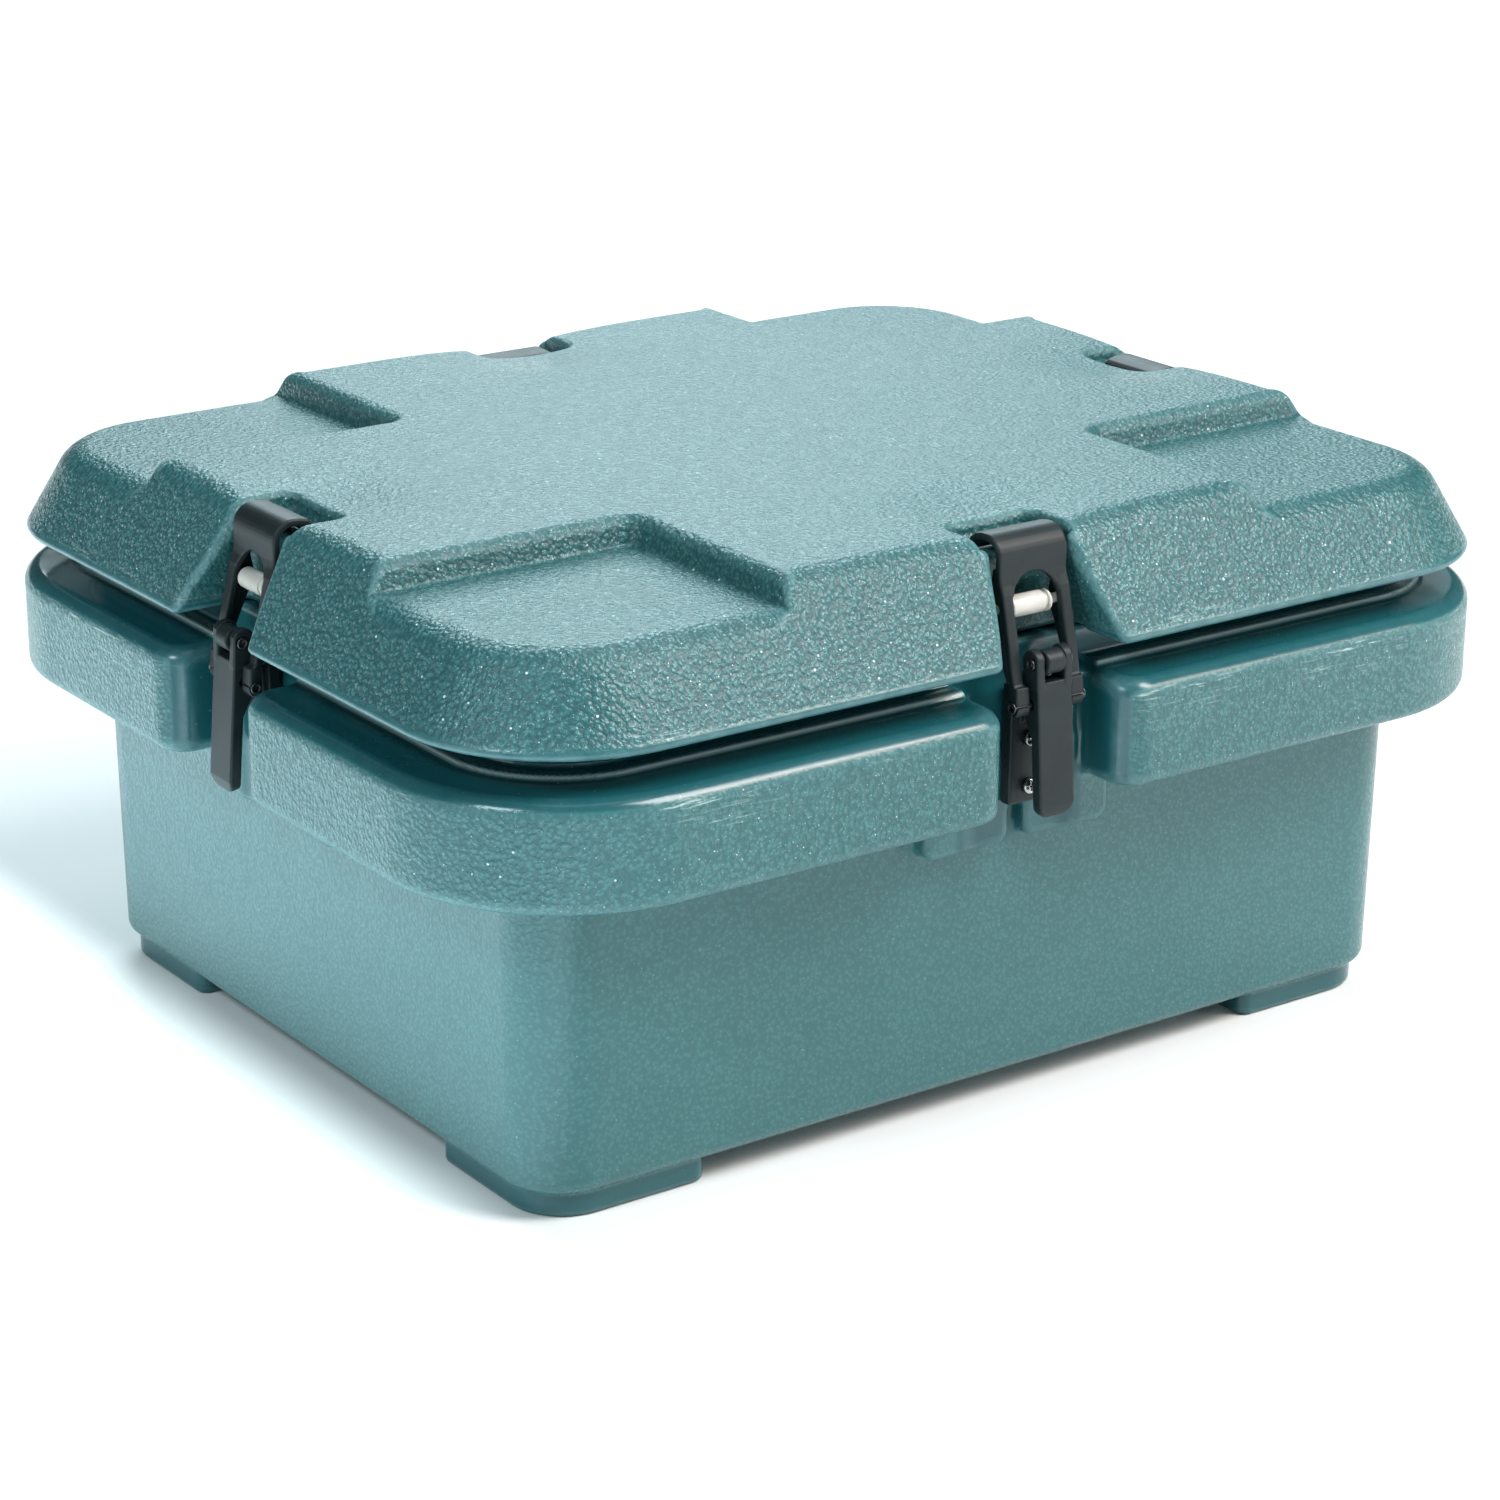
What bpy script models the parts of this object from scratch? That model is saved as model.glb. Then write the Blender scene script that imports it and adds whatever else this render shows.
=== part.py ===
"""Insulated food carrier: a double-wall moulded tub and lid, held shut by four
over-centre latches. Built in millimetres, placed in metres, +Z up, origin at
the middle of the footprint on the ground; +X runs along the long side."""
import bpy
import bmesh
import math
from mathutils import Matrix, Vector

MM = 0.001
GAP = 0.3                    # running and seating gap between pieces

# ---- overall -------------------------------------------------------------
RIM_HX, RIM_HY, RIM_R = 235.0, 199.0, 72.0      # rim half sizes, corner radius
RIM_Z0, RIM_Z1 = 125.5, 166.5                   # rim underside and top
BODY_HX, BODY_HY, BODY_R = 199.5, 163.5, 23.5   # tub wall under the rim
DRAFT = 1.3                                     # tub wall draft, rim to floor
FOOT_H = 9.5
FOOT_HX, FOOT_HY, FOOT_R = 195.2, 159.1, 24.0
FOOT_LX, FOOT_LY = 69.0, 69.0
COLLAR_IN = 30.0                                # collar set in from the rim
COLLAR_Z = 180.0
LEDGE_HX, LEDGE_HY, LEDGE_Z = 165.0, 135.0, 172.0   # seat for the pan's flange
WELL_HX, WELL_HY, WELL_Z = 153.0, 123.0, 66.0       # pan well
SKIN = 4.5                                      # moulded wall thickness
PORT_R = 12.0                                   # foam filling port
# ---- latch notches in the rim ---------------------------------------------
NOTCH_HW, NOTCH_R, NOTCH_IN = 25.5, 12.0, 28.0
PAD_HW, PAD_Z, PAD_OUT, PAD_GROOVE = 42.0, 105.0, 8.5, 3.6
# ---- lid --------------------------------------------------------------------
LID_HX, LID_HY, LID_R = 231.0, 195.0, 62.0
LID_Z0, LID_Z1 = 179.0, 222.0
RECESS_Z = 211.5
CROSS_HX, CROSS_HY = 104.7, 81.9                # inner corners of the recesses
LNOTCH_TOP, LNOTCH_LOW, LNOTCH_IN = 16.2, 27.0, 34.0   # half widths, depth
POCKET_HW, POCKET_IN, POCKET_Z = 20.0, 50.0, 212.7
PLUG_Z = 175.5
# ---- latch (n is the distance out from the centre on the front side) -------
F = RIM_HY
PIV_N, PIV_Z = F - 12.6, 176.6                  # lever pivot
HK_N, HK_Z = F - 13.5, 161.7                    # hook pivot
ROD_N, ROD_Z, ROD_R = F - 25.0, 194.6, 4.0      # white cross rod of the hook
ROD_END = 1.8
PIN_R, PIN_HEAD = 1.9, 2.4
LEVER_HW, HOOK_HW, KNUCKLE_HW = 8.0, 15.2, 3.9
SCREW_Z = (127.5, 145.5)
SEG = 6                                         # steps per rounded corner


# ---- mesh helpers ------------------------------------------------------------
def rr(hx, hy, r, z, n=SEG):
    """Rounded rectangle ring at height z, counter-clockwise from above."""
    pts = []
    for sx, sy, a0 in ((1, 1, 0), (-1, 1, 90), (-1, -1, 180), (1, -1, 270)):
        for i in range(n + 1):
            a = math.radians(a0 + 90.0 * i / n)
            pts.append((sx * (hx - r) + r * math.cos(a),
                        sy * (hy - r) + r * math.sin(a), z))
    return pts


def loft(rings):
    """Closed solid through rings of equal point count."""
    bm = bmesh.new()
    vs = [[bm.verts.new(p) for p in ring] for ring in rings]
    n = len(vs[0])
    for a, b in zip(vs, vs[1:]):
        for i in range(n):
            j = (i + 1) % n
            bm.faces.new((a[i], a[j], b[j], b[i]))
    bm.faces.new(list(reversed(vs[0])))
    bm.faces.new(vs[-1])
    return tidy(bm)


def tidy(bm):
    bmesh.ops.remove_doubles(bm, verts=bm.verts, dist=1e-4)
    bmesh.ops.recalc_face_normals(bm, faces=bm.faces)
    if bm.calc_volume(signed=True) < 0:
        bmesh.ops.reverse_faces(bm, faces=bm.faces)
    return bm


def prism(outline, lo, hi, axis):
    """Outline swept along an axis. axis 'x': outline is (y, z); 'z': (x, y)."""
    def place(p, t):
        return (t, p[0], p[1]) if axis == 'x' else (p[0], p[1], t)
    return loft([[place(p, lo) for p in outline], [place(p, hi) for p in outline]])


def box(x0, x1, y0, y1, z0, z1):
    return prism([(x0, y0), (x1, y0), (x1, y1), (x0, y1)], z0, z1, 'z')


def arc(cx, cy, r, a0, a1, n):
    return [(cx + r * math.cos(math.radians(a0 + (a1 - a0) * i / n)),
             cy + r * math.sin(math.radians(a0 + (a1 - a0) * i / n)))
            for i in range(n + 1)]


def rod_x(y, z, r, x0, x1, n=12):
    return prism(arc(y, z, r, 0, 360 - 360 / n, n - 1), x0, x1, 'x')


def rod_z(x, y, r, z0, z1, n=24):
    return prism(arc(x, y, r, 0, 360 - 360 / n, n - 1), z0, z1, 'z')


def turned_y(x, z, profile, n=12):
    """Solid of rings along Y about the line through (x, z); profile is (y, r)."""
    return loft([[(x + r * math.cos(2 * math.pi * i / n), y,
                   z + r * math.sin(2 * math.pi * i / n)) for i in range(n)]
                 for y, r in profile])


def moved(bm, mat):
    bmesh.ops.transform(bm, matrix=mat, verts=bm.verts)
    return bm


def combine(a, b, op):
    """Boolean of two solids; both are used up."""
    obs = []
    for bm in (a, b):
        me = bpy.data.meshes.new("tmp")
        bm.to_mesh(me)
        bm.free()
        ob = bpy.data.objects.new("tmp", me)
        bpy.context.scene.collection.objects.link(ob)
        obs.append(ob)
    mod = obs[0].modifiers.new("b", 'BOOLEAN')
    mod.operation = op
    mod.solver = 'EXACT'
    mod.object = obs[1]
    dg = bpy.context.evaluated_depsgraph_get()
    dg.update()
    ev = obs[0].evaluated_get(dg)
    out = bmesh.new()
    out.from_mesh(ev.to_mesh())
    ev.to_mesh_clear()
    for ob in obs:
        me = ob.data
        bpy.data.objects.remove(ob)
        bpy.data.meshes.remove(me)
    bmesh.ops.remove_doubles(out, verts=out.verts, dist=1e-4)
    return out


def cut(a, *bs):
    for b in bs:
        a = combine(a, b, 'DIFFERENCE')
    return a


def join(a, *bs):
    for b in bs:
        a = combine(a, b, 'UNION')
    return a


# ---- scene -------------------------------------------------------------------
for old in list(bpy.data.objects):
    bpy.data.objects.remove(old)


def material(name, colour, rough, metal=0.0):
    m = bpy.data.materials.new(name)
    m.use_nodes = True
    p = m.node_tree.nodes["Principled BSDF"]
    p.inputs["Base Color"].default_value = (*colour, 1.0)
    p.inputs["Roughness"].default_value = rough
    p.inputs["Metallic"].default_value = metal
    return m


TEAL = material("teal_polyethylene", (0.09, 0.24, 0.25), 0.5)
FOAM = material("foam", (0.72, 0.62, 0.38), 0.95)
BLACK = material("black_nylon", (0.022, 0.023, 0.028), 0.42)
STEEL = material("pin_steel", (0.55, 0.55, 0.54), 0.28, 1.0)
CHROME = material("screw_steel", (0.72, 0.72, 0.71), 0.15, 1.0)
WHITE = material("white_nylon", (0.82, 0.80, 0.74), 0.4)


def put(name, bm, mat, parent=None, origin=(0.0, 0.0, 0.0)):
    """Object from a solid in millimetres, its own origin at the given point."""
    moved(bm, Matrix.Scale(MM, 4) @ Matrix.Translation(-Vector(origin)))
    bmesh.ops.triangulate(bm, faces=[f for f in bm.faces if len(f.verts) > 4])
    me = bpy.data.meshes.new(name)
    bm.to_mesh(me)
    bm.free()
    me.materials.append(mat)
    me.shade_smooth()
    me.set_sharp_from_angle(angle=math.radians(35))
    ob = bpy.data.objects.new(name, me)
    bpy.context.scene.collection.objects.link(ob)
    ob.location = Vector(origin) * MM
    ob.parent = parent
    return ob


# The four sides: turn from the front, and how much further out than the front.
SIDES = (("front", 0.0, 0.0), ("right", 90.0, RIM_HX - RIM_HY),
         ("back", 180.0, 0.0), ("left", 270.0, RIM_HX - RIM_HY))


def on_side(bm, turn, extra):
    """Take a solid made for the front (out = -Y) to another side."""
    return moved(bm, Matrix.Rotation(math.radians(turn), 4, 'Z')
                 @ Matrix.Translation((0.0, -extra, 0.0)))


# ---- tub -----------------------------------------------------------------------
CX, CY = RIM_HX - COLLAR_IN, RIM_HY - COLLAR_IN
base = loft([
    rr(BODY_HX - DRAFT - 5.0, BODY_HY - DRAFT - 5.0, 18.5, FOOT_H),
    rr(BODY_HX - DRAFT - 1.4, BODY_HY - DRAFT - 1.4, 22.0, FOOT_H + 1.8),
    rr(BODY_HX - DRAFT, BODY_HY - DRAFT, 23.0, FOOT_H + 6.0),
    rr(BODY_HX, BODY_HY, BODY_R, RIM_Z0),
    rr(RIM_HX - 5.0, RIM_HY - 5.0, RIM_R - 5.0, RIM_Z0),
    rr(RIM_HX - 1.4, RIM_HY - 1.4, RIM_R - 1.4, RIM_Z0 + 1.5),
    rr(RIM_HX, RIM_HY, RIM_R, RIM_Z0 + 5.0),
    rr(RIM_HX, RIM_HY, RIM_R, RIM_Z1 - 7.0),
    rr(RIM_HX - 1.8, RIM_HY - 1.8, RIM_R - 1.8, RIM_Z1 - 2.6),
    rr(RIM_HX - 6.0, RIM_HY - 6.0, RIM_R - 6.0, RIM_Z1 - 0.8),
    rr(CX + 2.0, CY + 2.0, 38.0, RIM_Z1),
    rr(CX, CY, 36.0, RIM_Z1 + 2.0),
    rr(CX, CY, 36.0, COLLAR_Z - 2.0),
    rr(CX - 2.0, CY - 2.0, 34.0, COLLAR_Z),
    rr(LEDGE_HX, LEDGE_HY, 23.0, COLLAR_Z),
    rr(LEDGE_HX, LEDGE_HY, 23.0, LEDGE_Z),
    rr(WELL_HX, WELL_HY, 19.0, LEDGE_Z),
    rr(WELL_HX - 3.0, WELL_HY - 3.0, 16.0, WELL_Z + 6.0),
    rr(WELL_HX - 9.0, WELL_HY - 9.0, 10.0, WELL_Z),
])
for sx in (1, -1):
    for sy in (1, -1):
        ox, oy = FOOT_HX, FOOT_HY
        plan = ([(ox - FOOT_LX, oy - FOOT_LY), (ox, oy - FOOT_LY)]
                + arc(ox - FOOT_R, oy - FOOT_R, FOOT_R, 0, 90, SEG)
                + [(ox - FOOT_LX, oy)])
        foot = prism([(sx * x, sy * y) for x, y in plan], 0.0, FOOT_H - GAP, 'z')
        put(("front_" if sy < 0 else "back_") + ("left_foot" if sx < 0 else "right_foot"),
            foot, TEAL, origin=(sx * (ox - FOOT_LX / 2), sy * (oy - FOOT_LY / 2), 0.0))
for _, turn, extra in SIDES:
    pad = prism([(-PAD_HW, PAD_Z + 4), (-PAD_HW + 4, PAD_Z), (PAD_HW - 4, PAD_Z),
                 (PAD_HW, PAD_Z + 4), (PAD_HW, RIM_Z0 + 4), (-PAD_HW, RIM_Z0 + 4)],
                -BODY_HY - PAD_OUT, -BODY_HY + 3.0, 'z')
    pad = moved(pad, Matrix(((1, 0, 0, 0), (0, 0, 1, 0), (0, 1, 0, 0), (0, 0, 0, 1))))
    base = join(base, on_side(tidy(pad), turn, extra))
    # A groove parts the pad into two bosses below the latch.
    groove = box(-PAD_GROOVE, PAD_GROOVE, -F, -BODY_HY - 3.0, PAD_Z - 3.0, PAD_Z + 13.5)
    base = cut(base, on_side(groove, turn, extra))
NB = F - NOTCH_IN
for _, turn, extra in SIDES:
    cx, cy = NOTCH_HW + NOTCH_R, -(F - NOTCH_R)
    right = [(NOTCH_HW, -NB)] + [(cx - NOTCH_R * math.cos(math.radians(a)),
                                  cy - NOTCH_R * math.sin(math.radians(a)))
                                 for a in range(0, 91, 18)] + [(cx, -F - 12)]
    plan = right + [(-x, y) for x, y in reversed(right)]
    base = cut(base, on_side(prism(plan, PAD_Z - 10.0, COLLAR_Z + 5.0, 'z'), turn, extra))


def tub_cavity(d):
    """Space between the tub's two skins, drawn in by d."""
    ux, uy = CX - 5.0 - d, CY - 5.0 - d
    body = loft([
        rr(BODY_HX - 10 - d, BODY_HY - 10 - d, 14.0, FOOT_H + SKIN + d),
        rr(BODY_HX - DRAFT - SKIN - d, BODY_HY - DRAFT - SKIN - d, 18.5, FOOT_H + 10.0),
        rr(BODY_HX - SKIN - d, BODY_HY - SKIN - d, 19.0, RIM_Z0 - 2.0),
        rr(ux, uy, 31.0, RIM_Z0 + 3.0), rr(ux, uy, 31.0, COLLAR_Z - SKIN - d)])
    rim = loft([rr(RIM_HX - SKIN - d, RIM_HY - SKIN - d, RIM_R - SKIN, RIM_Z0 + SKIN + d),
                rr(RIM_HX - SKIN - d, RIM_HY - SKIN - d, RIM_R - SKIN, RIM_Z1 - SKIN - 1.5 - d)])
    hw = NOTCH_HW + NOTCH_R + SKIN + d
    for _, turn, extra in SIDES:
        rim = cut(rim, on_side(box(-hw, hw, -F - 20.0, -(NB - 7.5) + d, 100.0, 200.0),
                               turn, extra))
    body = join(body, rim)
    well = loft([rr(WELL_HX + SKIN + d, WELL_HY + SKIN + d, 21.0, WELL_Z - SKIN - d),
                 rr(WELL_HX + SKIN + d, WELL_HY + SKIN + d, 21.0, LEDGE_Z - SKIN - d),
                 rr(LEDGE_HX + SKIN + d, LEDGE_HY + SKIN + d, 26.0, LEDGE_Z - SKIN - d),
                 rr(LEDGE_HX + SKIN + d, LEDGE_HY + SKIN + d, 26.0, COLLAR_Z + 20.0)])
    return cut(body, well)


base = cut(base, tub_cavity(0.0), rod_z(0, 0, PORT_R, FOOT_H - 2.0, FOOT_H + SKIN + 2.0))
for _, turn, extra in SIDES:
    for z in SCREW_Z:
        hole = turned_y(0.0, z, ((-NB - 3.0, 2.4), (-NB + 5.6, 2.4)))
        base = cut(base, on_side(hole, turn, extra))


def liner_space(d):
    """What belongs to the inner liner: the well, its ledge and the collar."""
    well = loft([rr(180.0 + d, 150.0 + d, 20.0, 40.0), rr(180.0 + d, 150.0 + d, 20.0, 158.0)])
    collar = loft([rr(CX + d, CY + d, 36.0 + d, 155.0 - d), rr(CX + d, CY + d, 36.0 + d, 210.0)])
    return join(well, collar)


def slab(z0, z1):
    return box(-300.0, 300.0, -300.0, 300.0, z0, z1)


def seats(space, d):
    """Add the four latch seats, the wall at the back of each notch, to a space."""
    for _, turn, extra in SIDES:
        seat = box(-NOTCH_HW + d, NOTCH_HW - d, -F - 20.0, -150.0, RIM_Z0 - 10.0, 290.0)
        space = join(space, on_side(seat, turn, extra))
    return space


liner = combine(base.copy(), liner_space(-GAP / 2), 'INTERSECT')
outer = cut(base, liner_space(GAP / 2))
rim = cut(outer.copy(), seats(slab(-60.0, RIM_Z0 + GAP / 2), -GAP / 2))
outer = combine(outer, seats(slab(-50.0, RIM_Z0 - GAP / 2), GAP / 2), 'INTERSECT')
put("base_shell", outer, TEAL)
for sx in (1, -1):
    for sy in (1, -1):
        x0, x1 = sorted((0.0, 300.0 * sx))
        y0, y1 = sorted((0.0, 300.0 * sy))
        corner = combine(rim.copy(), box(x0, x1, y0, y1, 0.0, 300.0), 'INTERSECT')
        put(("front_" if sy < 0 else "back_") + ("left_rim" if sx < 0 else "right_rim"),
            corner, TEAL, origin=(sx * CX, sy * CY, RIM_Z0))
put("base_liner", liner, TEAL, origin=(0.0, 0.0, WELL_Z))
put("base_foam_core", tub_cavity(0.35), FOAM)


def fill_plug(z0, z1):
    """Round plug with a stepped face and a coin slot."""
    p = loft([[(r * math.cos(2 * math.pi * i / 24), r * math.sin(2 * math.pi * i / 24), z)
               for i in range(24)]
              for r, z in ((PORT_R - 1.5, z0), (PORT_R - 0.4, z0 + 0.8),
                           (PORT_R - 0.4, z1 - 0.6), (PORT_R - 1.2, z1))])
    return cut(p, box(-7.0, 7.0, -1.0, 1.0, z0 - 1.0, z0 + 1.6))


put("base_fill_plug", fill_plug(FOOT_H + 0.3, FOOT_H + SKIN - 0.1), TEAL,
    origin=(0.0, 0.0, FOOT_H))

# ---- lid -------------------------------------------------------------------------
lid = loft([
    rr(150.0, 120.0, 16.0, PLUG_Z),
    rr(154.0, 124.0, 20.0, PLUG_Z + 1.0),
    rr(157.0, 127.0, 22.0, COLLAR_Z + GAP),
    rr(CX + 2.0, CY + 2.0, 38.0, COLLAR_Z + GAP),
    rr(CX + 3.0, CY + 3.0, 39.0, LID_Z0),
    rr(LID_HX - 2.5, LID_HY - 2.5, LID_R - 2.5, LID_Z0),
    rr(LID_HX, LID_HY, LID_R, LID_Z0 + 2.4),
    rr(LID_HX - 18.5, LID_HY - 18.5, LID_R - 18.0, LID_Z1 - 9.5),
    rr(LID_HX - 21.4, LID_HY - 21.4, LID_R - 20.0, LID_Z1 - 5.0),
    rr(LID_HX - 25.0, LID_HY - 25.0, LID_R - 22.0, LID_Z1 - 1.6),
    rr(LID_HX - 30.0, LID_HY - 30.0, LID_R - 26.0, LID_Z1),
])
for sx in (1, -1):
    for sy in (1, -1):
        r = 6.0
        plan = (arc(CROSS_HX + r, CROSS_HY + r, r, 270, 180, 4)
                + [(CROSS_HX, 300.0), (320.0, 300.0), (320.0, CROSS_HY)])
        lid = cut(lid, prism([(sx * x, sy * y) for x, y in plan], RECESS_Z, 260.0, 'z'))
LB, LP = F - LNOTCH_IN, F - POCKET_IN
for _, turn, extra in SIDES:
    # The slot narrows upwards; the pocket behind it takes the hook's end.
    slot = prism([(-LNOTCH_LOW - 3.0, 170.0), (LNOTCH_LOW + 3.0, 170.0),
                  (LNOTCH_LOW, 180.0), (LNOTCH_TOP, POCKET_Z + 3.0), (LNOTCH_TOP, 240.0),
                  (-LNOTCH_TOP, 240.0), (-LNOTCH_TOP, POCKET_Z + 3.0), (-LNOTCH_LOW, 180.0)],
                 -260.0, -LB, 'z')
    slot = tidy(moved(slot, Matrix(((1, 0, 0, 0), (0, 0, 1, 0), (0, 1, 0, 0), (0, 0, 0, 1)))))
    pocket = box(-POCKET_HW, POCKET_HW, -LB - 4.0, -LP, POCKET_Z, 240.0)
    lid = cut(lid, on_side(slot, turn, extra), on_side(pocket, turn, extra))


def lid_cavity(d):
    """Space between the lid's two skins, drawn in by d."""
    c = loft([rr(148.0 - d, 118.0 - d, 14.0, PLUG_Z + SKIN + d),
              rr(148.0 - d, 118.0 - d, 14.0, COLLAR_Z + GAP + SKIN + d),
              rr(204.0 - d, 168.0 - d, 34.0, COLLAR_Z + GAP + SKIN + d),
              rr(196.0 - d, 160.0 - d, 28.0, RECESS_Z - SKIN - d)])
    for hx, hy in ((CROSS_HX - SKIN - d, 160.0 - d), (196.0 - d, CROSS_HY - SKIN - d)):
        c = join(c, box(-hx, hx, -hy, hy, 195.0, LID_Z1 - SKIN - d))
    hw = LNOTCH_LOW + SKIN + d
    for _, turn, extra in SIDES:
        c = cut(c, on_side(box(-hw, hw, -F - 40.0, -(LP - SKIN) + d, 150.0, 260.0),
                           turn, extra))
    return c


lid = cut(lid, lid_cavity(0.0), rod_z(0, 0, PORT_R, PLUG_Z - 2.0, PLUG_Z + SKIN + 2.0))
put("lid_shell", lid, TEAL, origin=(0.0, 0.0, COLLAR_Z))
put("lid_foam_core", lid_cavity(0.35), FOAM, origin=(0.0, 0.0, COLLAR_Z))
put("lid_fill_plug", fill_plug(PLUG_Z + 0.3, PLUG_Z + SKIN - 0.1), TEAL,
    origin=(0.0, 0.0, PLUG_Z))

# ---- latches ---------------------------------------------------------------------


def side_plate(outline, x0, x1):
    """Outline given as (n, z), swept across the latch."""
    return prism([(-n, z) for n, z in outline], x0, x1, 'x')


PLATE_N = NB + 5.3
PLATE_HW = 8.4


def make_bracket():
    plate = box(-PLATE_HW, PLATE_HW, -PLATE_N, -NB - GAP, 121.0, 166.0)
    arm = side_plate([(PLATE_N - 2.0, 151.0), (PLATE_N + 1.5, 151.0), (PLATE_N + 3.6, 158.0),
                      (PLATE_N + 3.6, 167.0), (PIV_N - 4.4, PIV_Z - 6.2)]
                     + arc(PIV_N, PIV_Z, 4.5, -100, 140, 8)
                     + [(PLATE_N + 1.0, 172.0), (PLATE_N - 2.0, 165.5)], -KNUCKLE_HW, KNUCKLE_HW)
    b = join(plate, arm)
    b = cut(b, rod_x(-PIV_N, PIV_Z, PIN_R + GAP, -20, 20))
    for z in SCREW_Z:
        b = cut(b, turned_y(0.0, z, ((-NB - 12.0, 2.4), (-NB + 2.0, 2.4))))
    return b


LEAN = 4.2                                      # lever foot stands out from its head


def make_lever():
    top, foot = PIV_N + 2.6, PIV_N + 2.6 + LEAN
    body = side_plate([(top + 0.6, PIV_Z - 6.6), (foot, 125.0), (foot - 0.5, 122.0),
                       (foot - 2.2, 120.2), (foot - 4.0, 121.0), (foot - 4.8, 124.5),
                       (foot - 6.6, 150.0), (HK_N - 4.2, HK_Z - 3.4), (HK_N - 4.2, HK_Z + 2.4),
                       (HK_N - 2.6, HK_Z + 5.6), (top - 6.2, PIV_Z - 6.6)],
                      -LEVER_HW, LEVER_HW)
    for s in (1, -1):
        a, b = sorted((s * (KNUCKLE_HW + 0.4), s * LEVER_HW))
        ear = side_plate([(top + 1.2, PIV_Z - 8.0), (top + 0.2, PIV_Z + 1.0)]
                         + arc(PIV_N - 1.2, PIV_Z + 0.4, 4.6, 35, 190, 8)
                         + [(top - 5.6, PIV_Z - 8.0)], a, b)
        body = join(body, ear)
    tip = prism([(-LEVER_HW - 1, 119.0), (-LEVER_HW - 1, 126.0), (-LEVER_HW, 126.0)]
                + [(-LEVER_HW + 6 - 6 * math.cos(math.radians(a)),
                    126.0 - 6 * math.sin(math.radians(a))) for a in (22.5, 45, 67.5, 90)]
                + [(-LEVER_HW + 6, 119.0)], -foot - 3, -foot + 9, 'z')
    tip = tidy(moved(tip, Matrix(((1, 0, 0, 0), (0, 0, 1, 0), (0, 1, 0, 0), (0, 0, 0, 1)))))
    tip2 = tidy(moved(tip.copy(), Matrix.Scale(-1, 4, (1, 0, 0))))
    body = cut(body, tip, tip2)
    return cut(body, rod_x(-PIV_N, PIV_Z, PIN_R + GAP, -20, 20),
               rod_x(-HK_N, HK_Z, PIN_R + GAP, -20, 20))


HOOK_FRONT = F - 22.8
HOOK_TOP = LID_Z1 - 2.2
LEG_IN, FOOT_IN = 10.4, 9.2                     # inner faces of the legs and their feet


def make_hook():
    hf, tz = HOOK_FRONT, HOOK_TOP
    # Turned-over end, crown and upper plate across the full width.
    crown = side_plate([(hf + 0.6, 203.0), (hf, 207.5), (hf, tz - 8.0)]
                       + arc(hf - 8.0, tz - 8.0, 8.0, 15, 90, 5)
                       + [(hf - 12.5, tz - 0.4), (hf - 16.4, tz - 2.4), (hf - 18.0, tz - 5.0),
                          (hf - 17.4, tz - 6.4), (hf - 15.6, tz - 6.6), (hf - 12.5, tz - 4.4),
                          (hf - 9.0, tz - 3.2)]
                       + arc(hf - 8.0, tz - 8.0, 5.0, 85, 10, 4)
                       + [(hf - 3.0, 207.0), (hf - 2.4, 203.0)], -HOOK_HW, HOOK_HW)
    arch = prism([(-LEG_IN, 188.0), (LEG_IN, 188.0), (LEG_IN, 196.5)]
                 + arc(0.0, 196.5, LEG_IN, 18, 162, 8) + [(-LEG_IN, 196.5)], -hf - 10.0, -hf + 12.0, 'z')
    arch = tidy(moved(arch, Matrix(((1, 0, 0, 0), (0, 0, 1, 0), (0, 1, 0, 0), (0, 0, 0, 1)))))
    h = cut(crown, arch)
    leg = [(hf + 0.2, 205.8), (hf + 1.8, 200.5), (HK_N + 2.4, HK_Z + 1.0), (HK_N + 2.2, HK_Z - 2.0),
           (HK_N + 0.6, HK_Z - 3.4), (HK_N - 2.0, HK_Z - 3.4), (HK_N - 3.4, HK_Z - 1.0),
           (HK_N - 3.4, HK_Z + 3.0), (HK_N - 2.0, HK_Z + 7.0),
           (hf - 1.2, 200.0), (hf - 2.7, 205.8)]
    foot = [(HK_N + 1.2, HK_Z + 5.6), (HK_N + 2.3, HK_Z + 0.8), (HK_N + 2.1, HK_Z - 1.9),
            (HK_N + 0.6, HK_Z - 3.2), (HK_N - 1.9, HK_Z - 3.2), (HK_N - 3.2, HK_Z - 1.0),
            (HK_N - 3.2, HK_Z + 2.8), (HK_N - 2.3, HK_Z + 5.6)]
    cheek = [(hf - 1.4, 208.0), (hf + 0.4, 200.0), (HK_N - 0.6, HK_Z + 9.0),
             (HK_N - 4.6, HK_Z + 8.0), (hf - 4.0, ROD_Z - 7.0),
             (ROD_N - 4.4, ROD_Z - 3.6), (ROD_N - 4.4, ROD_Z + 3.0),
             (hf - 5.6, ROD_Z + 8.0), (hf - 4.4, 209.0)]
    for s in (1, -1):
        a, b = sorted((s * LEG_IN, s * HOOK_HW))
        h = join(h, side_plate(leg, a, b))
        # Each leg ends in a wider foot round the hook pin.
        a, b = sorted((s * FOOT_IN, s * (LEG_IN + 1.0)))
        h = join(h, side_plate(foot, a, b))
        a, b = sorted((s * 12.3, s * (HOOK_HW - 0.3)))
        h = join(h, side_plate(cheek, a, b))
    return cut(h, rod_x(-HK_N, HK_Z, PIN_R + GAP, -30, 30),
               rod_x(-ROD_N, ROD_Z, ROD_END + GAP, -30, 30))


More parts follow.
